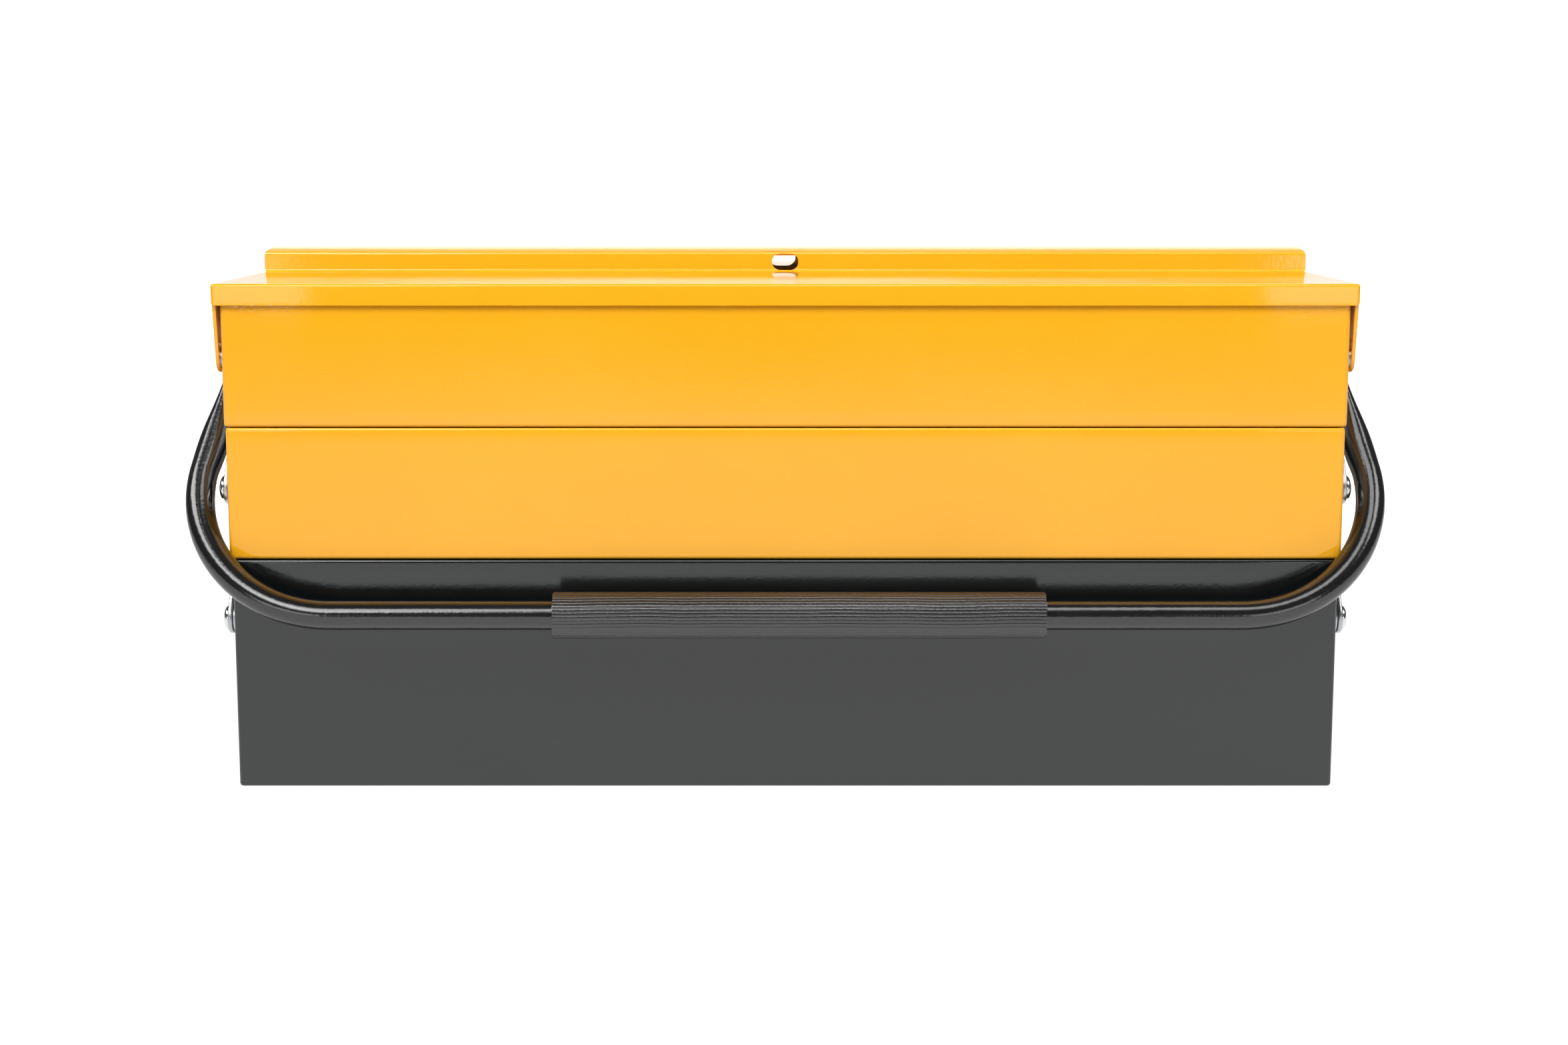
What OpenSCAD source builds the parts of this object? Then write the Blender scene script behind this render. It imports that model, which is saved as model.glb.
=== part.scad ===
// Cantilever tool box: a bottom box, two tiers of paired trays on parallel links,
// two lids that open outwards and two folding handles. Millimetres, front towards -Y, +Z up.
// The origin is on the floor, under the middle of the box.

/* [Sheet metal] */
// Thickness of the steel sheet
sheet = 0.7; // [0.6:0.1:1.0]
// Outside radius of the folded edges
fold_r = 1.2; // [1.1:0.1:2]
// Depth of the hem folded inwards along each rim
hem_depth = 4; // [3:0.5:6]
// Play left between parts that move past each other
play = 0.3; // [0.2:0.05:0.4]

/* [Bottom box] */
// Length of the bottom box
bottom_length = 421; // [380:1:460]
// Depth of the bottom box, front to back
body_depth = 196.6; // [180:0.2:220]
// Height of the bottom box
bottom_height = 88.5; // [75:0.5:110]

/* [Trays] */
// Length that each tier gains over the one below it, at both ends together
tier_growth = 2; // [1:0.5:2]
// Height of a middle tray
tray_height = 50; // [45:1:60]
// Height of a top tray, up to the underside of its lid
top_tray_height = 53; // [50:1:65]
// Gap between the stacked tiers
tier_gap = 0.4; // [0.3:0.1:1]
// Gap between the front and the rear trays
centre_gap = 1; // [0.6:0.2:3]

/* [Lids] */
// Overhang of a lid past the top tray at each end
lid_overhang = 3; // [2.9:0.1:4]
// Overhang of a lid past the front wall of its tray
lid_front_overhang = 1.7; // [1.4:0.1:3]
// Height of the lid's flange
lid_flange = 8.1; // [6:0.1:12]
// Height of the upstand along the front lid's inner edge
upstand_height = 8; // [7.8:0.2:12]
// Extra height of the rear lid's upstand
rear_upstand_extra = 0.2; // [0:0.1:1]
// Depth of the lip folded back from the rear lid's upstand
lip_depth = 8; // [4:0.5:12]
// Rise of that lip from its fold to its edge
lip_rise = 1.7; // [0.5:0.1:3]
// Cut-back of the lip at its two ends
lip_chamfer = 2; // [1:0.5:8]
// Inside radius of the bend at the foot of an upstand
upstand_bend_r = 1.2; // [0.6:0.1:2]
// Height over which the top edge of the front upstand is rolled back
upstand_roll = 1.6; // [0.7:0.1:2]
// Length of the padlock slot
slot_length = 11; // [8:0.5:16]
// Height of the padlock slot
slot_height = 6.8; // [5:0.2:7]
// How much higher the rear lid's slot sits than the front lid's
slot_raise = 1; // [0:0.2:1.4]
// Radius of the ear that hangs the lid on its rivet
ear_r = 6.5; // [5:0.5:8]
// Width of the ear where it leaves the flange
ear_root = 22; // [16:1:28]
// Distance of the lid rivet behind the front wall of the tray
lid_pivot_inset = 8.3; // [7:0.1:12]

/* [Links] */
// Sideways step of a link from one tier to the next
link_step = 38; // [30:1:40]
// Distance of the outermost pivots from the middle of the box
pivot_out = 86; // [82:1:90]
// Height of a tray's pivots over its floor
pivot_up = 25.5; // [20:0.5:30]
// Width of a link
link_width = 12; // [10:0.5:16]
// Thickness of a link
link_thick = 2; // [1.5:0.1:2.5]
// Play on each side of a link, along its rivets
side_play = 0.1; // [0.05:0.05:0.15]

/* [Rivets] */
// Diameter of the link rivets
rivet_d = 5; // [4:0.5:6]
// Diameter of the rivets' domed heads
rivet_head_d = 10; // [8:0.5:12]
// Height of the domed heads
rivet_head_h = 2.3; // [1.5:0.1:3]
// Diameter of the lid rivets
lid_rivet_d = 4; // [3:0.5:5]
// Height of the lid rivets' low heads
lid_rivet_head_h = 0.9; // [0.6:0.1:1]
// Running clearance between a rivet and what turns on it, on the radius
fit = 0.05; // [0.02:0.01:0.08]
// Diameter of the spacer washers
spacer_d = 11; // [9:0.5:12]

/* [Handles] */
// Diameter of the handle tube
tube_d = 11; // [9:0.5:13]
// Distance from the handle's pivot to the middle of its bar
handle_reach = 116; // [100:1:125]
// Radius of the bends, on the middle of the tube
bend_r = 51.5; // [40:0.5:55]
// Inward lean of the outside of the arms, in degrees
arm_lean = 12; // [8:0.5:14]
// Length of round arm between a bend and the flattened end
arm_straight = 3; // [1:0.5:10]
// Thickness of the flattened eye
eye_thick = 4; // [3:0.5:5]
// Radius of the flattened eye
eye_r = 8; // [7:0.5:9]
// Thickness of the washer under the eye
eye_washer = 0.9; // [0.7:0.1:1.5]

/* [Grips] */
// Length of a grip
grip_length = 186; // [140:2:220]
// Diameter of a grip over its ribs
grip_d = 17.5; // [15:0.5:19]
// Number of ribs round a grip
grip_ribs = 36; // [24:1:48]
// Depth of the grooves between the ribs
rib_depth = 0.45; // [0.2:0.05:0.8]

/* [Hidden] */
$fn = 48;
hull_fn = 32;
// Overshoot of a cut past the face that it opens
eps = 0.5;
// Points that draw one rib of a grip
rib_points = 4;
// Flats that draw the round of one folded edge
fold_steps = 5;

wall_y = body_depth / 2;
tray_depth = wall_y - centre_gap / 2;
middle_length = bottom_length + tier_growth;
top_length = middle_length + tier_growth / 2;
pitch = tray_height + tier_gap;
middle_z = bottom_height + tier_gap;
top_z = middle_z + pitch;

// Pivot rows of the three tiers, and the places of the pivots from the front inwards
row_z = [middle_z + pivot_up - pitch, middle_z + pivot_up, top_z + pivot_up];
function pivot_y(step) = -pivot_out + link_step * step;

// Layers from the trays' end walls outwards
half_length = [bottom_length / 2, middle_length / 2, top_length / 2];
link_x = half_length[2] + 4 * side_play;
head_x = link_x + link_thick + side_play;
eye_x = head_x + eye_washer + side_play;
eye_head_x = eye_x + eye_thick + side_play;

// Lids: the rim under the front edge is set down, so that the lid turns clear of it
lid_length = top_length + 2 * lid_overhang;
lid_front = wall_y + lid_front_overhang;
lid_under = top_z + top_tray_height + play;
lid_top = lid_under + sheet;
lid_pivot_y = -wall_y + lid_pivot_inset;
lid_pivot_z = row_z[2];
front_rim_z = lid_pivot_z + sqrt(pow(lid_under - lid_pivot_z - play, 2) - pow(lid_pivot_inset, 2));
ear_x = lid_length / 2 - sheet;
slot_z = lid_top + upstand_height / 2;

// Upstands: outlines in y and z of the front one and, mirrored, of the rear one with its lip.
// Both start with the bend up from the panel.
upstand_back = -centre_gap / 2;
upstand_front = upstand_back - sheet;
lip_fold_z = lid_top + upstand_height + rear_upstand_extra;
lip_lean = atan2(lip_rise, lip_depth);
lip_bend = [upstand_back - fold_r, lip_fold_z + fold_r * (tan(lip_lean) - 1 / cos(lip_lean))];
function arc(centre, ry, rz, from, to) =
    [for (step = [0:fold_steps])
        let (angle = from + (to - from) * step / fold_steps)
            centre + [ry * cos(angle), rz * sin(angle)]];
upstand_foot = concat(
    [[upstand_back, lid_under], [upstand_front - upstand_bend_r, lid_under]],
    arc([upstand_front - upstand_bend_r, lid_top + upstand_bend_r], upstand_bend_r, upstand_bend_r, -90, 0));
front_upstand = concat(upstand_foot,
    arc([upstand_back, lid_top + upstand_height - upstand_roll], sheet, upstand_roll, 180, 90));
rear_upstand = concat(upstand_foot,
    arc(lip_bend, fold_r - sheet, fold_r - sheet, 0, 90 - lip_lean),
    [[upstand_back - lip_depth, lip_fold_z + lip_rise - sheet / cos(lip_lean)],
        [upstand_back - lip_depth, lip_fold_z + lip_rise]],
    arc(lip_bend, fold_r, fold_r, 90 - lip_lean, 0));

// Handles: the arms lean out from the flats of their eyes to the bends, which sets where the bar ends
handle_y = pivot_y(1);
handle_z = row_z[2];
eye_flat = rivet_head_d / 2 + 3 * play;
arm_reach = handle_reach - bend_r * (1 + sin(arm_lean));
arm_x = eye_x + eye_thick + (arm_reach - eye_flat) * tan(arm_lean) - tube_d / 2 / cos(arm_lean);
bend_x = arm_x - bend_r * cos(arm_lean);
// A handle hangs with its bends just clear of the corners of the box, and its grip clear of the front.
// Each is the sine of the lean that this takes, at one point of a bend and at the grip.
bend_clear = tube_d / 2 + play;
function bend_lean(angle) =
    let (past = bend_x + bend_r * cos(angle) - half_length[2],
        out = sqrt(max(0, pow(bend_clear, 2) - pow(max(0, past), 2))))
        (past > bend_clear ? 0 : wall_y + out + handle_y) / (handle_reach - bend_r * (1 - sin(angle)));
grip_lean = (wall_y + play + grip_d / 2 + handle_y) / handle_reach;
hang_angle = asin(max([grip_lean, for (angle = [0:3:90]) bend_lean(angle)]));
// Length of the round arm inside its flattened end, and how far that end starts out proud of it
arm_overlap = 1;
swage = 0.2;

// ---- placing ----

module rear() {
    mirror([0, 1, 0]) children();
}

module left() {
    mirror([1, 0, 0]) children();
}

module both_ends() {
    children();
    left() children();
}

// ---- folded sheet ----

// A rectangle centred on the origin, its corners rounded in short steps
module rounded_rectangle(length, width, r) {
    polygon([for (corner = [0:3], step = [0:fold_steps])
        let (angle = 90 * (corner + step / fold_steps),
            x = (corner == 0 || corner == 3 ? 1 : -1) * (length / 2 - r),
            y = (corner < 2 ? 1 : -1) * (width / 2 - r))
            [x + r * cos(angle), y + r * sin(angle)]]);
}

// A block with every edge rounded, standing on z = 0
module rounded_block(length, depth, height, r) {
    intersection() {
        linear_extrude(height) rounded_rectangle(length, depth, r);
        translate([0, depth / 2, height / 2]) rotate([90, 0, 0])
            linear_extrude(depth) rounded_rectangle(length, height, r);
        translate([-length / 2, 0, height / 2]) rotate([90, 0, 90])
            linear_extrude(length) rounded_rectangle(depth, height, r);
    }
}

// An open tray of folded sheet, standing on z = 0 and centred on x and y.
// The hem along its rim is a second thickness of sheet inside the walls.
module tray_shell(length, depth, height) {
    mouth = [length - 4 * sheet, depth - 4 * sheet, hem_depth + eps];
    difference() {
        rounded_block(length, depth, height, fold_r);
        intersection() {
            translate([0, 0, sheet])
                rounded_block(length - 2 * sheet, depth - 2 * sheet, height, fold_r - sheet);
            translate([-length / 2, -depth / 2, 0]) cube([length, depth, height - hem_depth]);
        }
        translate([-mouth[0] / 2, -mouth[1] / 2, height - hem_depth - eps / 2]) cube(mouth + [0, 0, eps]);
    }
}

// Holes for rivets through both end walls
module end_holes(x, y, z, d) {
    both_ends()
        translate([x - hem_depth, y, z]) rotate([0, 90, 0]) cylinder(d = d, h = 2 * hem_depth);
}

// ---- the box and its trays ----

module bottom_box() {
    color("dimgray")
    difference() {
        tray_shell(bottom_length, body_depth, bottom_height);
        for (step = [0, 1], side = [-1, 1])
            end_holes(half_length[0], side * pivot_y(step), row_z[0], rivet_d + 2 * fit);
    }
}

module middle_tray() {
    color("orange")
    difference() {
        translate([0, -wall_y + tray_depth / 2, middle_z])
            tray_shell(middle_length, tray_depth, tray_height);
        for (step = [0:2])
            end_holes(half_length[1], pivot_y(step), row_z[1], rivet_d + 2 * fit);
    }
}

module top_tray() {
    color("orange")
    difference() {
        translate([0, -wall_y + tray_depth / 2, top_z])
            tray_shell(top_length, tray_depth, top_tray_height);
        for (step = [1, 2])
            end_holes(half_length[2], pivot_y(step), row_z[2], rivet_d + 2 * fit);
        end_holes(half_length[2], lid_pivot_y, lid_pivot_z, lid_rivet_d + 2 * fit);
        translate([-lid_length / 2, -lid_front, front_rim_z])
            cube([lid_length, lid_front + lid_pivot_y, lid_top - front_rim_z]);
    }
}

// ---- lids ----

// The ear on one end of the lid, hung on its rivet
module lid_ear() {
    translate([ear_x, 0, 0])
    rotate([90, 0, 90])
    linear_extrude(sheet)
    difference() {
        union() {
            polygon([
                [-lid_front + fold_r, lid_top - lid_flange + eps],
                [-lid_front + ear_root, lid_top - lid_flange + eps],
                [lid_pivot_y + ear_r, lid_pivot_z],
                [lid_pivot_y - ear_r, lid_pivot_z]
            ]);
            translate([lid_pivot_y, lid_pivot_z]) circle(r = ear_r);
        }
        translate([lid_pivot_y, lid_pivot_z]) circle(d = lid_rivet_d + 2 * fit);
    }
}

// The padlock slot, cut through an upstand and cut off flat at the given top
module padlock_slot(z, top) {
    straight = slot_length - slot_height;
    intersection() {
        translate([-straight / 2, lip_depth / 4, z - slot_height / 2]) rotate([90, 0, 0])
            linear_extrude(lip_depth / 2) {
                square([straight, slot_height]);
                for (x = [0, straight]) translate([x, slot_height / 2]) circle(d = slot_height);
            }
        translate([-slot_length, -lip_depth, lid_top]) cube([2 * slot_length, 2 * lip_depth, top - lid_top]);
    }
}

// Panel, flanges and ears, with an upstand of the given outline along the inner edge
module lid_pan(upstand) {
    difference() {
        translate([0, 0, lid_top]) mirror([0, 0, 1])
        difference() {
            rounded_block(lid_length, 2 * lid_front, 2 * lid_flange, fold_r);
            translate([0, 0, sheet])
                rounded_block(lid_length - 2 * sheet, 2 * (lid_front - sheet), 2 * lid_flange, fold_r - sheet);
            translate([-lid_length, -2 * lid_front, lid_flange])
                cube([2 * lid_length, 4 * lid_front, 2 * lid_flange]);
        }
        translate([-lid_length, -centre_gap / 2, 0]) cube([2 * lid_length, 2 * lid_front, 2 * lid_top]);
    }
    translate([-lid_length / 2, 0, 0]) rotate([90, 0, 90]) linear_extrude(lid_length) polygon(upstand);
    both_ends() lid_ear();
}

module front_lid() {
    color("orange")
    difference() {
        lid_pan(front_upstand);
        padlock_slot(slot_z, lid_top + upstand_height);
    }
}

// The rear lid's upstand ends in a lip that slopes up and back, its corners cut off
module rear_lid() {
    color("orange")
    difference() {
        rear() lid_pan(rear_upstand);
        padlock_slot(slot_z + slot_raise, lip_fold_z - 2 * sheet);
        both_ends()
            translate([lid_length / 2, -upstand_front, lip_fold_z - 2 * sheet])
                linear_extrude(lip_rise + 3 * sheet)
                    polygon([[0, 0], [eps, 0], [eps, lip_depth], [-lip_chamfer, lip_depth]]);
    }
}

// ---- links ----

// A flat bar with round ends through the pivots from one tier to another, one step per tier
module link(first_step, first_row, tiers) {
    run = link_step * tiers;
    rise = pitch * tiers;
    reach = sqrt(run * run + rise * rise);
    color("silver")
    translate([link_x, pivot_y(first_step), row_z[first_row]])
    rotate([atan2(rise, run), 0, 0])
    rotate([90, 0, 90])
    linear_extrude(link_thick)
    difference() {
        union() {
            translate([0, -link_width / 2]) square([reach, link_width]);
            for (end = [0, reach]) translate([end, 0]) circle(d = link_width);
        }
        for (tier = [0:tiers])
            translate([reach * tier / tiers, 0]) circle(d = rivet_d + 2 * fit);
    }
}

module long_link() {
    link(0, 0, 2);
}

module lower_link() {
    link(1, 0, 1);
}

module upper_link() {
    link(0, 1, 1);
}

// ---- rivets and spacers ----

// A rivet along +X: the shank runs from the inner face of a wall to a domed head
module rivet(wall_x, outer_x, y, z, d, head_d, head_h) {
    dome_r = (head_d * head_d / 4 + head_h * head_h) / (2 * head_h);
    clench = d / 4;
    translate([wall_x - sheet, y, z]) rotate([0, 90, 0]) {
        cylinder(d = d, h = outer_x - wall_x + sheet + head_h / 2);
        translate([0, 0, -clench]) cylinder(d = 1.6 * d, h = clench);
        translate([0, 0, outer_x - wall_x + sheet])
        intersection() {
            cylinder(d = head_d, h = head_h);
            translate([0, 0, head_h - dome_r]) sphere(r = dome_r);
        }
    }
}

module link_rivet(tier, step, outer_x = head_x) {
    color("gainsboro")
    both_ends()
        rivet(half_length[tier], outer_x, pivot_y(step), row_z[tier], rivet_d, rivet_head_d, rivet_head_h);
}

module lid_rivets() {
    color("gainsboro")
    both_ends()
        rivet(half_length[2], ear_x + sheet + side_play, lid_pivot_y, lid_pivot_z,
            lid_rivet_d, 1.8 * lid_rivet_d, lid_rivet_head_h);
}

// A washer along +X between two faces, on both ends of the box
module spacer(from_x, to_x, y, z, bore_d, d) {
    color("silver")
    both_ends()
        translate([from_x, y, z]) rotate([0, 90, 0]) difference() {
            cylinder(d = d, h = to_x - from_x);
            translate([0, 0, -eps]) cylinder(d = bore_d + 2 * fit, h = to_x - from_x + 2 * eps);
        }
}

module link_spacer(tier, step) {
    spacer(half_length[tier], link_x - side_play, pivot_y(step), row_z[tier], rivet_d, spacer_d);
}

module lid_spacers() {
    spacer(half_length[2], ear_x - side_play, lid_pivot_y, lid_pivot_z, lid_rivet_d, 2 * lid_rivet_d);
}

module eye_washers() {
    spacer(head_x, head_x + eye_washer, handle_y, handle_z, rivet_d, spacer_d);
}

// ---- handles ----

// The handle hangs from its pivots, turned out until it is clear of the box
module hang_handle() {
    translate([0, handle_y, handle_z]) rotate([-hang_angle, 0, 0]) children();
}

// The straight bar between the bends, under the grip
module handle_bar() {
    color("black")
    hang_handle()
        translate([-bend_x, 0, -handle_reach]) rotate([0, 90, 0]) cylinder(d = tube_d, h = 2 * bend_x);
}

// The bend of the tube from the bar round to an arm
module handle_bend() {
    color("black")
    hang_handle()
        translate([bend_x, 0, -handle_reach + bend_r]) rotate([90, 0, 0]) rotate([0, 0, -90])
            rotate_extrude(angle = 90 + arm_lean) translate([bend_r, 0]) circle(d = tube_d);
}

// The arm from the end of a bend up to the eye on the pivot
module handle_arm() {
    color("black")
    hang_handle() {
        at_arm() cylinder(d = tube_d, h = arm_straight + arm_overlap);
        handle_eye();
    }
}

// The end of a bend, with +Z along the arm towards the pivot
module at_arm() {
    translate([arm_x, 0, -arm_reach]) rotate([0, -arm_lean, 0]) children();
}

// Where the flat of an eye ends, clear of the rivet's head
module eye_edge() {
    translate([eye_x, -eye_r, -eye_flat - eps]) cube([eye_thick, 2 * eye_r, eps]);
}

// The flattened end of an arm, from the round tube to the eye at the pivot
module handle_eye() {
    difference() {
        union() {
            hull() {
                translate([eye_x, 0, 0]) rotate([0, 90, 0]) cylinder(r = eye_r, h = eye_thick, $fn = hull_fn);
                eye_edge();
            }
            hull() {
                eye_edge();
                at_arm() translate([0, 0, arm_straight])
                    cylinder(d = tube_d + 2 * swage, h = eps, $fn = hull_fn);
            }
        }
        translate([eye_x - eps, 0, 0]) rotate([0, 90, 0])
            cylinder(d = rivet_d + 2 * fit, h = eye_thick + 2 * eps);
    }
}

// A ribbed sleeve on the handle's bar
module grip() {
    points = grip_ribs * rib_points;
    crest_r = grip_d / 2;
    color([0.3, 0.31, 0.31])
    hang_handle()
    translate([-grip_length / 2, 0, -handle_reach]) rotate([0, 90, 0])
    difference() {
        linear_extrude(grip_length)
            polygon([for (i = [0:points - 1])
                let (r = crest_r - rib_depth * (1 - cos(360 * i / rib_points)) / 2)
                    [r * cos(360 * i / points), r * sin(360 * i / points)]]);
        translate([0, 0, -eps]) cylinder(d = tube_d + 2 * fit, h = grip_length + 2 * eps);
    }
}

// ---- the assembly ----

bottom_box();
middle_tray();  // front_middle_tray
rear() middle_tray();  // rear_middle_tray
top_tray();  // front_top_tray
rear() top_tray();  // rear_top_tray
front_lid();
rear_lid();

left() long_link();  // front_left_long_link
long_link();  // front_right_long_link
rear() left() long_link();  // rear_left_long_link
rear() long_link();  // rear_right_long_link
left() lower_link();  // front_left_lower_link
lower_link();  // front_right_lower_link
rear() left() lower_link();  // rear_left_lower_link
rear() lower_link();  // rear_right_lower_link
left() upper_link();  // front_left_upper_link
upper_link();  // front_right_upper_link
rear() left() upper_link();  // rear_left_upper_link
rear() upper_link();  // rear_right_upper_link

handle_bar();  // front_handle_bar
left() handle_bend();  // front_left_handle_bend
handle_bend();  // front_right_handle_bend
left() handle_arm();  // front_left_handle_arm
handle_arm();  // front_right_handle_arm
rear() handle_bar();  // rear_handle_bar
rear() left() handle_bend();  // rear_left_handle_bend
rear() handle_bend();  // rear_right_handle_bend
rear() left() handle_arm();  // rear_left_handle_arm
rear() handle_arm();  // rear_right_handle_arm
grip();  // front_grip
rear() grip();  // rear_grip

for (step = [0, 1]) {  // bottom_rivets
    link_rivet(0, step);
    rear() link_rivet(0, step);
}
for (step = [0:2]) link_rivet(1, step);  // front_middle_rivets
rear() for (step = [0:2]) link_rivet(1, step);  // rear_middle_rivets
link_rivet(2, 2);  // front_link_rivets
rear() link_rivet(2, 2);  // rear_link_rivets
link_rivet(2, 1, eye_head_x);  // front_handle_rivets
rear() link_rivet(2, 1, eye_head_x);  // rear_handle_rivets
lid_rivets();  // front_lid_rivets
rear() lid_rivets();  // rear_lid_rivets

for (step = [0, 1]) {  // bottom_spacers
    link_spacer(0, step);
    rear() link_spacer(0, step);
}
for (step = [0:2]) link_spacer(1, step);  // front_middle_spacers
rear() for (step = [0:2]) link_spacer(1, step);  // rear_middle_spacers
eye_washers();  // front_eye_washers
rear() eye_washers();  // rear_eye_washers
lid_spacers();  // front_lid_spacers
rear() lid_spacers();  // rear_lid_spacers
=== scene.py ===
"""Cantilever tool box: its visible pieces, their finishes, and a plain studio round it.

Metres, in the part's own frame: X along the box, Y from front to rear, Z up. Sizes of the pieces are written in
millimetres and pass through MM. In (x, u, z) points, u runs outwards from the middle plane, to the front or rear."""
import math

import bmesh
import bpy
from mathutils import Matrix, Vector


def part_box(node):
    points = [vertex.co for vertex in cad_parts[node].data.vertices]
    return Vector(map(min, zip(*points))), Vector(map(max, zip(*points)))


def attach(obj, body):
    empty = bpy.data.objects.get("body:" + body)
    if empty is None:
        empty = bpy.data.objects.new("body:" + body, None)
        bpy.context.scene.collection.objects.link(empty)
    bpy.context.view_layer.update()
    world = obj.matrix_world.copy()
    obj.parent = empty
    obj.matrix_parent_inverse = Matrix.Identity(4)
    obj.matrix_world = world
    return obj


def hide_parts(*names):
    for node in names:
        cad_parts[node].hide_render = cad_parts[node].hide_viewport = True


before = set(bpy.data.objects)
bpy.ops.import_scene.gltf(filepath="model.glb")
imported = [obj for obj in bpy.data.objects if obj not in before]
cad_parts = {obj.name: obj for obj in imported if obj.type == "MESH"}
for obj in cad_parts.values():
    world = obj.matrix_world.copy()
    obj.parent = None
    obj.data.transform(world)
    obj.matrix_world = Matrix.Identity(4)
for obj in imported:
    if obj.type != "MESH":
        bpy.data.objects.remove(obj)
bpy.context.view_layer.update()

MM = 0.001

# ---- sizes of the box, in millimetres ----

SHEET = 0.7
FOLD_R = 1.2
CORNER_R = 1.7
HEM = 4.0
RIM_R = 1.3
RIM_SET_DOWN = 1.3
HALF_LENGTH = (210.5, 211.5, 212.0)     # bottom box, middle trays, top trays
# pivots and links
PIVOT_OUT = 86.0
LINK_STEP = 38.0
ROW_Z = (64.0, 114.4, 164.8)
LINK_X = 212.4
LINK_THICK = 2.0
LINK_R = 6.0
LINK_EASE = 0.3
HEAD_X = 214.5
# lids
LID_HALF = 215.0
LID_FRONT = 100.0
LID_TOP = 193.3
LID_FLANGE = 8.1
FOOT_CUT = 0.8
UPSTAND = 8.0
UPSTAND_BACK = 0.5
UPSTAND_BEND = 1.2
ROLL = 1.7
ROLL_CUT = 1.2
LIP_BEND = 0.5
REAR_UPSTAND_MORE = 0.2
REAR_LIP = (8.0, 1.7, 1.7)              # depth, rise, and the cut at its ends
LID_PIVOT_U = 90.0
EAR_IN = 213.4
EAR_OUT = 214.7
EAR_R = 5.3
EAR_BACK_U = 78.0
SLOT_LENGTH = 11.0
SLOT_HEIGHT = 6.8
FRONT_SLOT = (0.0, 197.3)               # x and z of its middle
REAR_SLOT = (-1.3, 199.1)
REAR_SLOT_COVER = 1.7
# handles and grips
EYE_X = 215.5
EYE_THICK = 4.0
EYE_R = 8.0
EYE_FLAT = 6.4
EYE_HEAD_X = 219.6
TUBE_R = 5.5
BEND_R = 54.0
HANDLE_HALF = 230.1
GRIP_HALF = 92.0
GRIP_SLID = {"front": 5.2, "rear": 0.0}
GRIP_R = 8.72
GRIP_CORE_R = 8.58
RIB_WIDTH = 1.44
RIB_HEIGHT = 0.20
RIBS = 36
RIB_WAVER = 0.22
SIDES = {"front": -1, "rear": 1}
ENDS = {"left": -1, "right": 1}


def box_mm(node):
    """Two corners of a CAD node's box, in millimetres."""
    low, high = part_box(node)
    return low / MM, high / MM


def centre_mm(node):
    """Middle of a CAD node's box, in millimetres."""
    low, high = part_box(node)
    return (low + high) / 2 / MM


# ---- node trees ----

def add(tree, kind, links=None, values=None, **settings):
    """A node with its settings, input values and incoming links."""
    made = tree.nodes.new(kind)
    for key, value in settings.items():
        setattr(made, key, value)
    for name, value in (values or {}).items():
        made.inputs[name].default_value = value
    for name, source in (links or {}).items():
        tree.links.new(source, made.inputs[name])
    return made


def math_node(tree, operation, a, b=None, clamp=False):
    """A Math node whose inputs are numbers or sockets."""
    made = tree.nodes.new("ShaderNodeMath")
    made.operation = operation
    made.use_clamp = clamp
    for index, value in enumerate((a, b)):
        if value is None:
            continue
        if isinstance(value, (int, float)):
            made.inputs[index].default_value = value
        else:
            tree.links.new(value, made.inputs[index])
    return made.outputs[0]


def product(tree, first, *others):
    """The product of several numbers or sockets."""
    for other in others:
        first = math_node(tree, "MULTIPLY", first, other)
    return first


def socket(tree, name, kind, way="INPUT", default=None):
    """One named input or output of a group."""
    made = tree.interface.new_socket(name=name, in_out=way, socket_type="NodeSocket" + kind)
    if default is not None:
        made.default_value = default
    return made


def group(name, inputs, outputs, kind="ShaderNodeTree"):
    """An empty node group with its sockets. Returns the tree, its input node and its output node."""
    tree = bpy.data.node_groups.new(name, kind)
    for label, socket_kind, default in inputs:
        socket(tree, label, socket_kind, "INPUT", default)
    for label, socket_kind in outputs:
        socket(tree, label, socket_kind, "OUTPUT")
    return tree, tree.nodes.new("NodeGroupInput"), tree.nodes.new("NodeGroupOutput")


def noise(tree, vector, scale, detail=2.0, roughness=0.5):
    """A Noise Texture's value, at a scale in cells per metre."""
    made = add(tree, "ShaderNodeTexNoise", {"Vector": vector},
               {"Scale": scale, "Detail": detail, "Roughness": roughness})
    return made.outputs["Fac"]


def stretched(tree, scale, turn=(0.0, 0.0, 0.0)):
    """Object coordinates, stretched for a grain that runs one way."""
    here = tree.nodes.new("ShaderNodeTexCoord").outputs["Object"]
    return add(tree, "ShaderNodeMapping", {"Vector": here}, {"Scale": scale, "Rotation": turn}).outputs[0]


def between(tree, value, low, high, out_low=0.0, out_high=1.0):
    """A value mapped from one range to another, and clamped."""
    made = add(tree, "ShaderNodeMapRange", {"Value": value}, {
        "From Min": low, "From Max": high, "To Min": out_low, "To Max": out_high})
    return made.outputs[0]


def mix_colour(tree, factor, a, b):
    """A colour mix of two sockets or colours."""
    made = tree.nodes.new("ShaderNodeMix")
    made.data_type = "RGBA"
    for index, value in ((0, factor), (6, a), (7, b)):
        if isinstance(value, (int, float, tuple)):
            made.inputs[index].default_value = value
        else:
            tree.links.new(value, made.inputs[index])
    return made.outputs[2]


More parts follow.
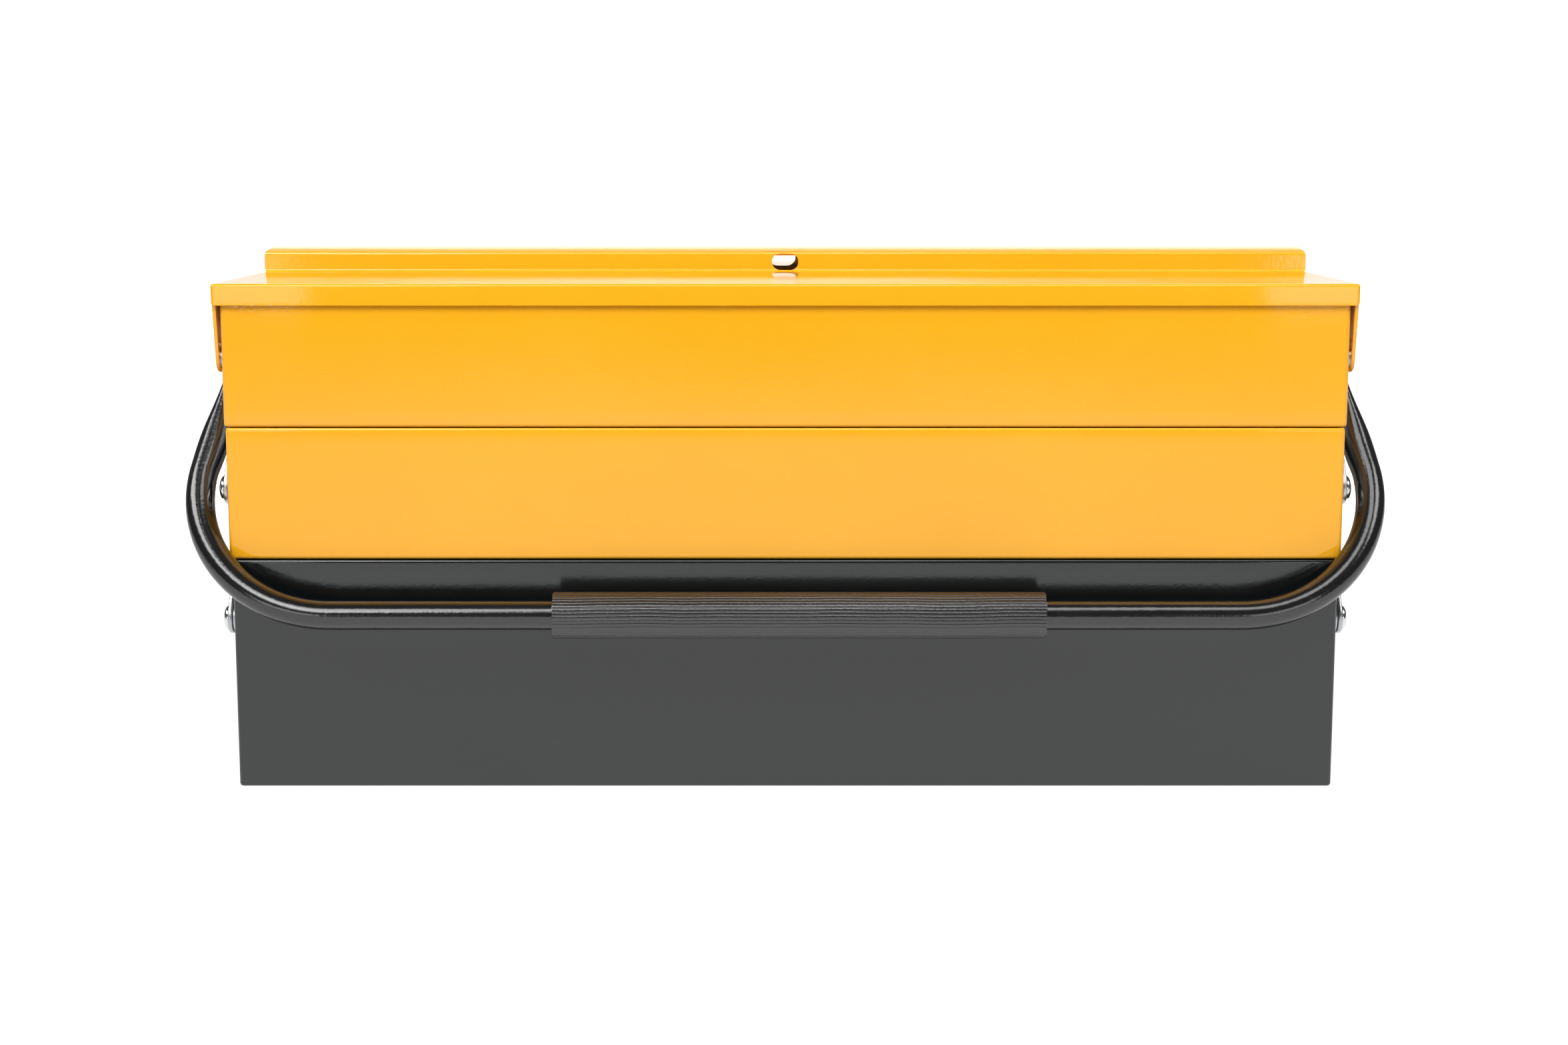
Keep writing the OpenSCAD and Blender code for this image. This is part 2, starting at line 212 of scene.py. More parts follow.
def make_lint():
    """Specks of lint and short hairs, as a mask. Amount is the share of cells that hold one."""
    tree, inp, out = group(
        "lint",
        [("Scale", "Float", 120.0), ("Amount", "Float", 0.1), ("Size", "Float", 0.06)],
        [("Mask", "Float")],
    )
    here = tree.nodes.new("ShaderNodeTexCoord").outputs["Object"]
    drift = add(tree, "ShaderNodeTexNoise", {"Vector": here}, {"Scale": 300.0, "Detail": 1.0})
    small = add(tree, "ShaderNodeVectorMath", {0: drift.outputs["Color"]}, {1: (0.0015, 0.0015, 0.0015)},
                operation="MULTIPLY")
    bent = add(tree, "ShaderNodeVectorMath", {0: here, 1: small.outputs[0]}, operation="ADD")
    cells = add(tree, "ShaderNodeTexVoronoi", {"Vector": bent.outputs[0], "Scale": inp.outputs["Scale"]})
    picked = add(tree, "ShaderNodeSeparateColor", {"Color": cells.outputs["Color"]})
    chosen = math_node(tree, "LESS_THAN", picked.outputs[0], inp.outputs["Amount"])
    reach = product(tree, inp.outputs["Size"], picked.outputs[1])
    near = math_node(tree, "LESS_THAN", cells.outputs["Distance"], reach)
    tree.links.new(product(tree, chosen, near), out.inputs["Mask"])
    return tree


def make_hairlines():
    """Fine scratches that run along the piece, as a mask."""
    tree, inp, out = group(
        "hairlines", [("Amount", "Float", 0.5)], [("Mask", "Float")])
    long_cells = add(tree, "ShaderNodeTexVoronoi",
                     {"Vector": stretched(tree, (9.0, 420.0, 420.0), (0.03, 0.06, 0.05))},
                     {"Scale": 1.0}, feature="DISTANCE_TO_EDGE")
    line = between(tree, long_cells.outputs["Distance"], 0.0, 0.02, 1.0, 0.0)
    patch = between(tree, noise(tree, stretched(tree, (1.0, 1.0, 1.0)), 45.0, 3.0), 0.56, 0.68)
    tree.links.new(product(tree, line, patch, inp.outputs["Amount"]), out.inputs["Mask"])
    return tree


# colour of the painted shade behind the padlock slot
SLOT_SHADE_COLOUR = (0.010, 0.003, 0.0012, 1)


def make_painted_slot_shade():
    """Painted shade round the padlock slot, on the side of the rear upstand that the front one covers: a dark mask
    by place that stands for the shade in the gap between the two upstands.
    Darkest at the slot's foot, and faint over its top."""
    tree, inp, out = group("painted_slot_shade", [("Painted Shade", "Float", 1.0)], [("Mask", "Float")])
    here = tree.nodes.new("ShaderNodeTexCoord").outputs["Object"]
    x, y, z = add(tree, "ShaderNodeSeparateXYZ", {"Vector": here}).outputs
    slot_x, slot_z = REAR_SLOT[0] * MM, REAR_SLOT[1] * MM
    off_x = math_node(tree, "ABSOLUTE", math_node(tree, "SUBTRACT", x, slot_x))
    beside = between(tree, off_x, 0.0062, 0.0090, 1.0, 0.0)
    at_foot = between(tree, z, slot_z - 0.0029, slot_z - 0.0013, 1.0, 0.86)
    over_top = between(tree, z, slot_z + 0.0001, slot_z + 0.0007, 1.0, 0.35)
    above_panel = between(tree, z, LID_TOP * MM, (LID_TOP + 0.3) * MM)
    covered = product(tree, math_node(tree, "GREATER_THAN", y, -0.0002), math_node(tree, "LESS_THAN", y, 0.0014))
    mask = product(tree, beside, at_foot, over_top, above_panel, covered, inp.outputs["Painted Shade"])
    tree.links.new(mask, out.inputs["Mask"])
    return tree


def make_enamel(lint, hairlines, painted_slot_shade):
    """Stoved enamel on sheet steel: mottled colour, orange peel, a slow waviness, lint, hairlines, and painted shade
    round the padlock slot.
    """
    tree, inp, out = group(
        "enamel",
        [("Colour", "Color", (0.5, 0.5, 0.5, 1)), ("Deep Colour", "Color", (0.4, 0.4, 0.4, 1)),
         ("Lint Colour", "Color", (0.6, 0.6, 0.58, 1)), ("Lint Amount", "Float", 0.05),
         ("Hairlines", "Float", 0.2), ("Gloss", "Float", 0.25), ("Peel", "Float", 0.1),
         ("Waviness", "Float", 0.1), ("Painted Shade", "Float", 0.0)],
        [("Colour", "Color"), ("Roughness", "Float"), ("Normal", "Vector")],
    )
    here = tree.nodes.new("ShaderNodeTexCoord").outputs["Object"]
    cloud = between(tree, noise(tree, here, 16.0, 4.0, 0.55), 0.3, 0.7)
    grain = between(tree, noise(tree, here, 700.0), 0.35, 0.65)
    colour = mix_colour(tree, cloud, inp.outputs["Deep Colour"], inp.outputs["Colour"])
    colour = mix_colour(tree, product(tree, grain, 0.06), colour, inp.outputs["Deep Colour"])
    specks = add(tree, "ShaderNodeGroup", {"Amount": inp.outputs["Lint Amount"]}, {"Scale": 150.0, "Size": 0.035},
                 node_tree=lint)
    lines = add(tree, "ShaderNodeGroup", {"Amount": inp.outputs["Hairlines"]}, node_tree=hairlines)
    marks = math_node(tree, "MAXIMUM", specks.outputs[0], lines.outputs[0])
    colour = mix_colour(tree, marks, colour, inp.outputs["Lint Colour"])
    # painted shade round the padlock slot, darkening the colour there
    dark = add(tree, "ShaderNodeGroup", {"Painted Shade": inp.outputs["Painted Shade"]}, node_tree=painted_slot_shade)
    colour = mix_colour(tree, dark.outputs[0], colour, SLOT_SHADE_COLOUR)
    tree.links.new(colour, out.inputs["Colour"])
    rough = math_node(tree, "ADD", inp.outputs["Gloss"], product(tree, cloud, 0.04))
    rough = math_node(tree, "ADD", rough, product(tree, marks, 0.35), clamp=True)
    tree.links.new(rough, out.inputs["Roughness"])
    slow = add(tree, "ShaderNodeBump", {
        "Height": noise(tree, here, 14.0, 1.0), "Strength": inp.outputs["Waviness"]}, {"Distance": 0.004})
    peel = add(tree, "ShaderNodeBump", {
        "Height": noise(tree, here, 620.0), "Strength": inp.outputs["Peel"], "Normal": slow.outputs[0]},
        {"Distance": 0.0004})
    raised = add(tree, "ShaderNodeBump", {"Height": specks.outputs[0], "Normal": peel.outputs[0]},
                 {"Distance": 0.00006, "Strength": 0.6})
    tree.links.new(raised.outputs[0], out.inputs["Normal"])
    return tree


def make_plating(hairlines):
    """Plated steel: a fine directional grain, faint clouds in the plating and hairlines."""
    tree, inp, out = group(
        "plating",
        [("Colour", "Color", (0.6, 0.6, 0.6, 1)), ("Cloud Colour", "Color", (0.5, 0.5, 0.5, 1)),
         ("Gloss", "Float", 0.25), ("Grain", "Float", 0.15), ("Hairlines", "Float", 0.3)],
        [("Colour", "Color"), ("Roughness", "Float"), ("Normal", "Vector")],
    )
    here = tree.nodes.new("ShaderNodeTexCoord").outputs["Object"]
    cloud = between(tree, noise(tree, here, 90.0, 3.0, 0.6), 0.35, 0.65)
    grain = noise(tree, stretched(tree, (900.0, 900.0, 120.0)), 1.0, 3.0)
    lines = add(tree, "ShaderNodeGroup", {"Amount": inp.outputs["Hairlines"]}, node_tree=hairlines)
    tree.links.new(mix_colour(tree, cloud, inp.outputs["Cloud Colour"], inp.outputs["Colour"]),
                   out.inputs["Colour"])
    rough = math_node(tree, "ADD", inp.outputs["Gloss"], product(tree, grain, 0.1))
    rough = math_node(tree, "ADD", rough, product(tree, lines.outputs[0], 0.2), clamp=True)
    tree.links.new(rough, out.inputs["Roughness"])
    ground = add(tree, "ShaderNodeBump", {"Height": grain, "Strength": inp.outputs["Grain"]},
                 {"Distance": 0.0002})
    tree.links.new(ground.outputs[0], out.inputs["Normal"])
    return tree


def material(name, tree, values, shader):
    """A Principled material whose colour, roughness and normal come from one group."""
    made = bpy.data.materials.new(name)
    made.use_nodes = True
    nodes = made.node_tree
    nodes.nodes.clear()
    skin = add(nodes, "ShaderNodeGroup", values=values, node_tree=tree)
    surface = add(nodes, "ShaderNodeBsdfPrincipled", {
        "Base Color": skin.outputs["Colour"], "Roughness": skin.outputs["Roughness"],
        "Normal": skin.outputs["Normal"]}, shader)
    add(nodes, "ShaderNodeOutputMaterial", {"Surface": surface.outputs[0]})
    return made


lint = make_lint()
hairlines = make_hairlines()
# a mask of painted shade round the padlock slot
painted_slot_shade = make_painted_slot_shade()
enamel = make_enamel(lint, hairlines, painted_slot_shade)
plating = make_plating(hairlines)

# the yellow paint carries the painted shade round the padlock slot
YELLOW = material("yellow_paint", enamel, {
    "Colour": (0.94, 0.436, 0.012, 1), "Deep Colour": (0.91, 0.414, 0.009, 1),
    "Lint Colour": (0.30, 0.16, 0.04, 1), "Lint Amount": 0.012, "Hairlines": 0.0,
    "Gloss": 0.06, "Peel": 0.05, "Waviness": 0.05, "Painted Shade": 1.0},
    {"IOR": 1.55})
GREY = material("grey_paint", enamel, {
    "Colour": (0.0046, 0.0062, 0.0066, 1), "Deep Colour": (0.0038, 0.0052, 0.0056, 1),
    "Lint Colour": (0.32, 0.33, 0.32, 1), "Lint Amount": 0.02, "Hairlines": 0.02,
    "Gloss": 0.13, "Peel": 0.08, "Waviness": 0.05},
    {"IOR": 1.68})
BLACK = material("black_paint", enamel, {
    "Colour": (0.0060, 0.0060, 0.0062, 1), "Deep Colour": (0.0045, 0.0045, 0.0046, 1),
    "Lint Colour": (0.30, 0.30, 0.29, 1), "Lint Amount": 0.05, "Hairlines": 0.12,
    "Gloss": 0.14, "Peel": 0.12, "Waviness": 0.03},
    {"IOR": 1.75})
RUBBER = material("grip_rubber", enamel, {
    "Colour": (0.014, 0.014, 0.014, 1), "Deep Colour": (0.010, 0.010, 0.010, 1),
    "Lint Colour": (0.40, 0.38, 0.35, 1), "Lint Amount": 0.10, "Hairlines": 0.10,
    "Gloss": 0.18, "Peel": 0.22, "Waviness": 0.02},
    {"IOR": 1.8})
ZINC = material("zinc_plate", plating, {
    "Colour": (0.56, 0.57, 0.58, 1), "Cloud Colour": (0.47, 0.48, 0.50, 1),
    "Gloss": 0.30, "Grain": 0.22, "Hairlines": 0.4}, {"Metallic": 1.0})
STEEL = material("rivet_steel", plating, {
    "Colour": (0.80, 0.80, 0.79, 1), "Cloud Colour": (0.74, 0.74, 0.73, 1),
    "Gloss": 0.06, "Grain": 0.05, "Hairlines": 0.2}, {"Metallic": 1.0})


# ---- pieces ----

def finish_piece(obj, paint, body, replaced, sharp=32.0):
    """Shades a finished mesh object, paints it, and ties it to the frame."""
    mesh = obj.data
    mesh.shade_smooth()
    mesh.set_sharp_from_angle(angle=math.radians(sharp))
    mesh.materials.clear()
    mesh.materials.append(paint)
    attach(obj, body)
    if replaced:
        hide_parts(*replaced)
    return obj


def mesh_object(name, points, faces, turn=None):
    """A mesh object from points in millimetres, with its normals outwards."""
    mesh = bpy.data.meshes.new(name)
    mesh.from_pydata([Vector(p) * MM for p in points], [], faces)
    if turn is not None:
        mesh.transform(turn)
    tidy = bmesh.new()
    tidy.from_mesh(mesh)
    bmesh.ops.remove_doubles(tidy, verts=tidy.verts, dist=1e-7)
    bmesh.ops.recalc_face_normals(tidy, faces=tidy.faces)
    tidy.to_mesh(mesh)
    tidy.free()
    obj = bpy.data.objects.new(name, mesh)
    bpy.context.scene.collection.objects.link(obj)
    return obj


def loft(rings):
    """Points and faces of a closed skin over rings of equal length."""
    count = len(rings[0])
    points = [p for ring in rings for p in ring]
    faces = []
    for level in range(len(rings) - 1):
        for i in range(count):
            j = (i + 1) % count
            low, high = level * count, (level + 1) * count
            faces.append((low + i, low + j, high + j, high + i))
    faces.append(tuple(range(count))[::-1])
    faces.append(tuple((len(rings) - 1) * count + i for i in range(count)))
    return points, faces


def join(*parts):
    """Several (points, faces) pairs as one."""
    points, faces = [], []
    for more_points, more_faces in parts:
        start = len(points)
        points += more_points
        faces += [tuple(i + start for i in face) for face in more_faces]
    return points, faces


def arc(steps, start=0.0, end=90.0):
    """Angles in radians, from one to another."""
    return [math.radians(start + (end - start) * k / steps) for k in range(steps + 1)]


def as_plain(obj, name):
    """The object's evaluated shape as a plain mesh object, its modifiers gone."""
    graph = bpy.context.evaluated_depsgraph_get()
    mesh = bpy.data.meshes.new_from_object(obj.evaluated_get(graph))
    mesh.name = name
    made = bpy.data.objects.new(name, mesh)
    bpy.context.scene.collection.objects.link(made)
    bpy.data.objects.remove(obj)
    return made


# ---- folded trays ----

TRAY_X_SHARES = [k / 12 for k in range(1, 12)]
TRAY_Y_SHARES = [k / 8 for k in range(1, 8)]


def tray_ring(half_x, y0, y1, inset, z, stops):
    """A rounded rectangle at one height, with points along its sides and at the stops in y."""
    r = max(CORNER_R - inset, 0.08)
    left, right, near, far = -half_x + inset, half_x - inset, y0 + inset, y1 - inset
    ys = sorted([near + r + (far - near - 2 * r) * s for s in TRAY_Y_SHARES] + list(stops))
    xs = [left + r + (right - left - 2 * r) * s for s in TRAY_X_SHARES]
    ring = []
    for cx, cy, start, side in (
            (right - r, far - r, 0, [(x, far) for x in reversed(xs)]),
            (left + r, far - r, 90, [(left, y) for y in reversed(ys)]),
            (left + r, near + r, 180, [(x, near) for x in xs]),
            (right - r, near + r, 270, [(right, y) for y in ys])):
        ring += [(cx + r * math.cos(a), cy + r * math.sin(a), z) for a in arc(6, start, start + 90)]
        ring += [(x, y, z) for x, y in side]
    return ring


def tray(node, paint, stops=()):
    """A tray folded from one sheet to the size of its CAD node, with its rim rolled in to a hem. Past the stops in
    y the rim is set down, to pass under a lid."""
    low, high = box_mm(node)
    z0, top = low.z, high.z
    height = top - z0
    levels = [(FOLD_R * (1 - math.sin(a)), z0 + FOLD_R * (1 - math.cos(a))) for a in arc(6)]
    levels += [(0, z0 + FOLD_R + (height - FOLD_R - RIM_R) * s) for s in (0.1, 0.3, 0.5, 0.7, 0.9)]
    rim = len(levels)
    levels += [(SHEET * (1 - math.cos(a)), top - RIM_R + RIM_R * math.sin(a)) for a in arc(8)]
    levels += [(SHEET * (1 - math.cos(a)), top - SHEET + SHEET * math.sin(a)) for a in arc(4, 90, 180)[1:]]
    levels += [(2 * SHEET, top - HEM + 0.3), (1.8 * SHEET, top - HEM), (1.05 * SHEET, top - HEM)]
    hem = len(levels)
    levels += [(SHEET, top - HEM - 0.2)]
    levels += [(SHEET, z0 + FOLD_R + (height - FOLD_R - HEM) * s) for s in (0.7, 0.4, 0.1)]
    inner = FOLD_R - SHEET
    levels += [(SHEET + inner * (1 - math.cos(a)), z0 + FOLD_R - inner * math.sin(a)) for a in arc(4)]

    def sunk(y):
        share = (abs(y) - abs(stops[0])) / (abs(stops[1]) - abs(stops[0]))
        return RIM_SET_DOWN * min(max(share, 0), 1)

    rings = []
    for index, (inset, z) in enumerate(levels):
        ring = tray_ring(high.x, low.y, high.y, inset, z, stops)
        if stops and rim <= index < hem:
            ring = [(x, y, z - sunk(y)) for x, y, z in ring]
        rings.append(ring)
    obj = mesh_object(node + "_shell", *loft(rings))
    body = "bottom" if node == "bottom_box" else node
    return finish_piece(obj, paint, body, [node])


tray("bottom_box", GREY)
for side, way in SIDES.items():
    tray(side + "_middle_tray", YELLOW)
    tray(side + "_top_tray", YELLOW, [way * (LID_PIVOT_U - 0.15), way * (LID_PIVOT_U + 0.15)])


# ---- lids ----

ROLL_ANGLES = arc(7)


def panel_rings(back):
    """Rings round a lid's sheet, from the foot of its flange up over the fold, each open at the upstand."""
    foot = LID_TOP - LID_FLANGE
    levels = [(0.0, foot, UPSTAND_BACK), (0.0, LID_TOP - FOLD_R, UPSTAND_BACK)]
    for a in arc(6)[1:]:
        levels.append((FOLD_R * (1 - math.cos(a)), LID_TOP - FOLD_R * (1 - math.sin(a)),
                       UPSTAND_BACK + (back - UPSTAND_BACK) * a / math.radians(90)))
    rings = []
    for inset, z, u_end in levels:
        r = max(CORNER_R - inset, 0.08)
        x, u = LID_HALF - inset, LID_FRONT - inset
        half = [(x, u_end, z)] + [(x - r + r * math.cos(a), u - r + r * math.sin(a), z) for a in arc(6)]
        half += [((x - r) * s, u, z) for s in (0.8, 0.6, 0.4, 0.2)]
        if z == foot:
            # the flange's lower corners are rounded off, and its sides start above them
            half = [(px, pu, z + FOOT_CUT * (1 - min(max((pu - u + r) / r, 0), 1) ** 2)) for px, pu, z in half]
        rings.append(half + [(0, u, z)] + [(-px, pu, z) for px, pu, z in reversed(half)])
    return rings


def upstand_rows(height, lip):
    """(u, z, half length) of the rows up an upstand: its bend, then the rear lid's sloping lip or the front lid's
    rolled edge."""
    back = UPSTAND_BACK + SHEET + UPSTAND_BEND
    rows = [(back - UPSTAND_BEND * math.sin(a), LID_TOP + UPSTAND_BEND * (1 - math.cos(a)),
             LID_HALF - FOLD_R + FOLD_R * math.sin(a)) for a in arc(6)[1:]]
    top = LID_TOP + height
    if not lip:
        return rows + [(UPSTAND_BACK + SHEET * math.cos(a), top - ROLL + ROLL * math.sin(a),
                        LID_HALF - ROLL_CUT * (1 - math.cos(a))) for a in ROLL_ANGLES]
    depth, rise, cut = lip
    slope = math.atan2(rise, depth)
    front, turn = UPSTAND_BACK + SHEET, top - SHEET - LIP_BEND
    rows += [(front, turn, LID_HALF)]
    rows += [(front + LIP_BEND * (1 - math.cos(a)), turn + LIP_BEND * math.sin(a), LID_HALF)
             for a in arc(5, 0, 90 - math.degrees(slope))[1:]]
    return rows + [(UPSTAND_BACK + depth, top + rise - SHEET, LID_HALF - cut)]


def lid_skin(height, lip):
    """The upper side of a lid's sheet as (x, u, z). Also gives each point's share of the sheet's thickness, which
    thins out where the front upstand's edge is rolled over."""
    back = UPSTAND_BACK + SHEET + UPSTAND_BEND
    rings = panel_rings(back)
    count = len(rings[0])
    points = [p for ring in rings for p in ring]
    faces = [(k * count + i, k * count + i + 1, (k + 1) * count + i + 1, (k + 1) * count + i)
             for k in range(len(rings) - 1) for i in range(count - 1)]
    # the panel, and the rows of the bend and the upstand behind it
    panel = [(len(rings) - 1) * count + i for i in range(count)]
    shares = [1, 0.75, 0.5, 0.25, 0.05, -0.05, -0.25, -0.5, -0.75, -1]
    previous = [panel[0]] + [None] * (len(shares) - 2) + [panel[-1]]
    for i in range(1, len(shares) - 1):
        points.append(((LID_HALF - FOLD_R) * shares[i], back, LID_TOP))
        previous[i] = len(points) - 1
    faces.append(tuple(panel) + tuple(reversed(previous[1:-1])))
    for u, z, reach in upstand_rows(height, lip):
        row = []
        for s in shares:
            points.append((reach * s, u, z))
            row.append(len(points) - 1)
        faces += [(previous[i], previous[i + 1], row[i + 1], row[i]) for i in range(len(shares) - 1)]
        previous = row
    thickness = [1.0] * len(points)
    if not lip:
        rolled = [0.3 + 0.7 * math.cos(a) for a in ROLL_ANGLES for _ in shares]
        thickness[-len(rolled):] = rolled
    return points, faces, thickness


def stadium(length, height, steps=10):
    """Outline of a slot with round ends, centred on the origin."""
    r = height / 2
    straight = length / 2 - r
    return ([(straight + r * math.cos(a), r * math.sin(a)) for a in arc(steps, -90, 90)]
            + [(-straight + r * math.cos(a), r * math.sin(a)) for a in arc(steps, 90, 270)])


def slot_cutter(x, z, top, way):
    """A bar with the outline of the padlock slot, cut off flat at a given height."""
    outline = [(x + a, min(z + b, top)) for a, b in stadium(SLOT_LENGTH, SLOT_HEIGHT)]
    rings = [[(a, way * u, b) for a, b in outline] for u in (-2.0, 4.0)]
    return mesh_object("slot_cutter", *loft(rings))


def ear_plate(end):
    """The ear that hangs the lid on its rivet, as (x, u, z)."""
    foot = LID_TOP - LID_FLANGE + FOOT_CUT
    outline = [(LID_FRONT - FOLD_R, foot), (EAR_BACK_U, foot)]
    outline += [(LID_PIVOT_U + EAR_R * math.cos(a), ROW_Z[2] + EAR_R * math.sin(a)) for a in arc(16, 180, 360)]
    middle = (LID_PIVOT_U, ROW_Z[2] + 10)
    rings = []
    slight, ease = 0.15, 0.3
    for x, inset in ((EAR_IN, slight), (EAR_IN + slight, 0), (EAR_OUT - ease, 0), (EAR_OUT, ease)):
        ring = []
        for u, z in outline:
            away = Vector((u - middle[0], z - middle[1])).normalized() * inset
            ring.append((end * x, u - away.x, z if z >= foot else z - away.y))
        rings.append(ring)
    return loft(rings)


def lid(side):
    """A whole lid: panel and flanges, upstand with its slot, and two ears."""
    way = SIDES[side]
    rear = side == "rear"
    height = UPSTAND + (REAR_UPSTAND_MORE if rear else 0.0)
    points, faces, thickness = lid_skin(height, REAR_LIP if rear else None)
    pan = mesh_object(side + "_pan", [(x, way * u, z) for x, u, z in points], faces)
    up = max(pan.data.polygons, key=lambda p: p.area)
    if up.normal.z < 0:
        pan.data.flip_normals()
    sheet_group = pan.vertex_groups.new(name="sheet")
    for index, share in enumerate(thickness):
        sheet_group.add([index], share, "REPLACE")
    thick = pan.modifiers.new("sheet", "SOLIDIFY")
    thick.vertex_group = "sheet"
    thick.thickness = SHEET * MM
    thick.offset = -1
    thick.use_even_offset = True
    pan = as_plain(pan, side + "_pan")
    cutter = (slot_cutter(*REAR_SLOT, LID_TOP + height - REAR_SLOT_COVER, way) if rear
              else slot_cutter(*FRONT_SLOT, LID_TOP + 20, way))
    cut = pan.modifiers.new("slot", "BOOLEAN")
    cut.object = cutter
    cut.solver = "EXACT"
    pan = as_plain(pan, side + "_pan")
    bpy.data.objects.remove(cutter)
    points, faces = join(ear_plate(1), ear_plate(-1))
    ears = mesh_object(side + "_ears", [(x, way * u, z) for x, u, z in points], faces)
    whole = bmesh.new()
    whole.from_mesh(pan.data)
    whole.from_mesh(ears.data)
    mesh = bpy.data.meshes.new(side + "_lid_sheet")
    whole.to_mesh(mesh)
    whole.free()
    bpy.data.objects.remove(pan)
    bpy.data.objects.remove(ears)
    obj = bpy.data.objects.new(side + "_lid_sheet", mesh)
    bpy.context.scene.collection.objects.link(obj)
    return finish_piece(obj, YELLOW, side + "_lid", [side + "_lid"], sharp=38)


for side in SIDES:
    lid(side)


# ---- links ----

def pivot(step, row):
    """(u, z) of a pivot, u outwards from the middle of the box."""
    return PIVOT_OUT - LINK_STEP * step, ROW_Z[row]


def link_plate(start, end):
    """A flat bar with round ends and eased edges, as (x, u, z) on the +X end."""
    (u0, z0), (u1, z1) = start, end
    along = math.atan2(z1 - z0, u1 - u0)
    rings = []
    for x, r in ((LINK_X, LINK_R - LINK_EASE), (LINK_X + LINK_EASE, LINK_R),
                 (LINK_X + LINK_THICK - LINK_EASE, LINK_R), (LINK_X + LINK_THICK, LINK_R - LINK_EASE)):
        ring = [(x, u1 + r * math.cos(along + a), z1 + r * math.sin(along + a)) for a in arc(14, -90, 90)]
        ring += [(x, u0 + r * math.cos(along + a), z0 + r * math.sin(along + a)) for a in arc(14, 90, 270)]
        rings.append(ring)
    return loft(rings)


# each link's lower and upper pivot, as (step inwards, row)
LINKS = {"long": ((0, 0), (2, 2)), "lower": ((1, 0), (2, 1)), "upper": ((0, 1), (1, 2))}
for side, way in SIDES.items():
    for kind, (start, finish_at) in LINKS.items():
        for end, sign in ENDS.items():
            points, faces = link_plate(pivot(*start), pivot(*finish_at))
            name = f"{side}_{end}_{kind}_link"
            obj = mesh_object(name + "_bar", [(sign * x, way * u, z) for x, u, z in points], faces)
            finish_piece(obj, ZINC, f"{side}_{kind}_links", [name], sharp=50)


# ---- handles ----

HANDLE_PIVOT = centre_mm("front_handle_rivets")
HANDLE_BAR = centre_mm("front_grip")
REACH = math.hypot(HANDLE_PIVOT.y - HANDLE_BAR.y, HANDLE_PIVOT.z - HANDLE_BAR.z)
HANG = math.atan2(HANDLE_PIVOT.y - HANDLE_BAR.y, HANDLE_PIVOT.z - HANDLE_BAR.z)
BEND_X = HANDLE_HALF - BEND_R - TUBE_R
ARM_LEAN = math.radians(7.0)
TUBE_STEPS = 32
BEND_STEPS = 32
ARM_STEPS = 30


def hang(way):
    """From a handle's own frame, which hangs straight down from its pivots, to its place at rest."""
    place = Matrix.Translation(Vector((0, way * abs(HANDLE_PIVOT.y), HANDLE_PIVOT.z)) * MM)
    return place @ Matrix.Rotation(HANG * way, 4, "X")


def tube_ring(x, d, angle, thick, wide, squareness):
    """A section of the tube: x and d place it, d down from the pivot, and angle tilts it to the tube's course."""
    ring = []
    for k in range(TUBE_STEPS):
        a = 2 * math.pi * k / TUBE_STEPS
        c, s = math.cos(a), math.sin(a)
        out = thick * math.copysign(abs(c) ** (2 / squareness), c)
        across = wide * math.copysign(abs(s) ** (2 / squareness), s)
        ring.append((x + out * math.cos(angle), across, -(d + out * math.sin(angle))))
    return ring


ARM_END = BEND_X + BEND_R * math.cos(ARM_LEAN)
ARM_END_HALF = 5.54
# how far down from the pivot, the arm's outer and inner edge there, half its width, and how square its section is
ARM = (
    (EYE_FLAT, 219.5, 215.5, 8.0, 3.6),
    (9.0, 219.5, 215.5, 7.6, 3.0),
    (17.0, 220.3, 215.5, 6.8, 2.4),
    (26.0, 222.9, 215.5, 6.2, 2.2),
    (36.0, 226.0, 215.5, 5.8, 2.1),
    (44.0, 227.9, 216.1, 5.6, 2.0),
    (REACH - BEND_R - BEND_R * math.sin(ARM_LEAN), ARM_END + ARM_END_HALF, ARM_END - ARM_END_HALF, TUBE_R, 2.0),
)


def along_arm(d, column):
    """A value from the ARM table, eased between its rows."""
    low = max(k for k in range(len(ARM) - 1) if ARM[k][0] <= d or k == 0)
    step = ARM[low + 1][0] - ARM[low][0]
    s = (d - ARM[low][0]) / step

    def slope(k):
        before, after = ARM[max(k - 1, 0)], ARM[min(k + 1, len(ARM) - 1)]
        return (after[column] - before[column]) / (after[0] - before[0]) * step

    return (ARM[low][column] * (2 * s**3 - 3 * s**2 + 1) + slope(low) * (s**3 - 2 * s**2 + s)
            + ARM[low + 1][column] * (3 * s**2 - 2 * s**3) + slope(low + 1) * (s**3 - s**2))


def handle_half():
    """Sections from the middle of the bar to the tip of the right eye."""
    rings = [tube_ring(BEND_X * s, REACH, math.pi / 2, TUBE_R, TUBE_R, 2) for s in (0, 0.25, 0.5, 0.75, 0.97)]
    for k in range(BEND_STEPS + 1):
        a = math.pi / 2 - (math.pi / 2 + ARM_LEAN) * k / BEND_STEPS
        rings.append(tube_ring(BEND_X + BEND_R * math.cos(a), REACH - BEND_R + BEND_R * math.sin(a), a,
                               TUBE_R, TUBE_R, 2))
    foot = ARM[-1][0]
    for k in range(1, ARM_STEPS + 1):
        d = foot + (EYE_FLAT - foot) * k / ARM_STEPS
        outer, inner, wide, squareness = (along_arm(d, column) for column in (1, 2, 3, 4))
        lean = ARM_LEAN * (1 - k / ARM_STEPS)
        rings.append(tube_ring((outer + inner) / 2, d, -lean, (outer - inner) / 2 * math.cos(lean), wide,
                               squareness))
    for a in arc(10, 0, 86):
        d = -EYE_R * math.sin(a)
        rings.append(tube_ring(EYE_X + EYE_THICK / 2, d, 0, EYE_THICK / 2, EYE_R * math.cos(a), ARM[0][4]))
    return rings


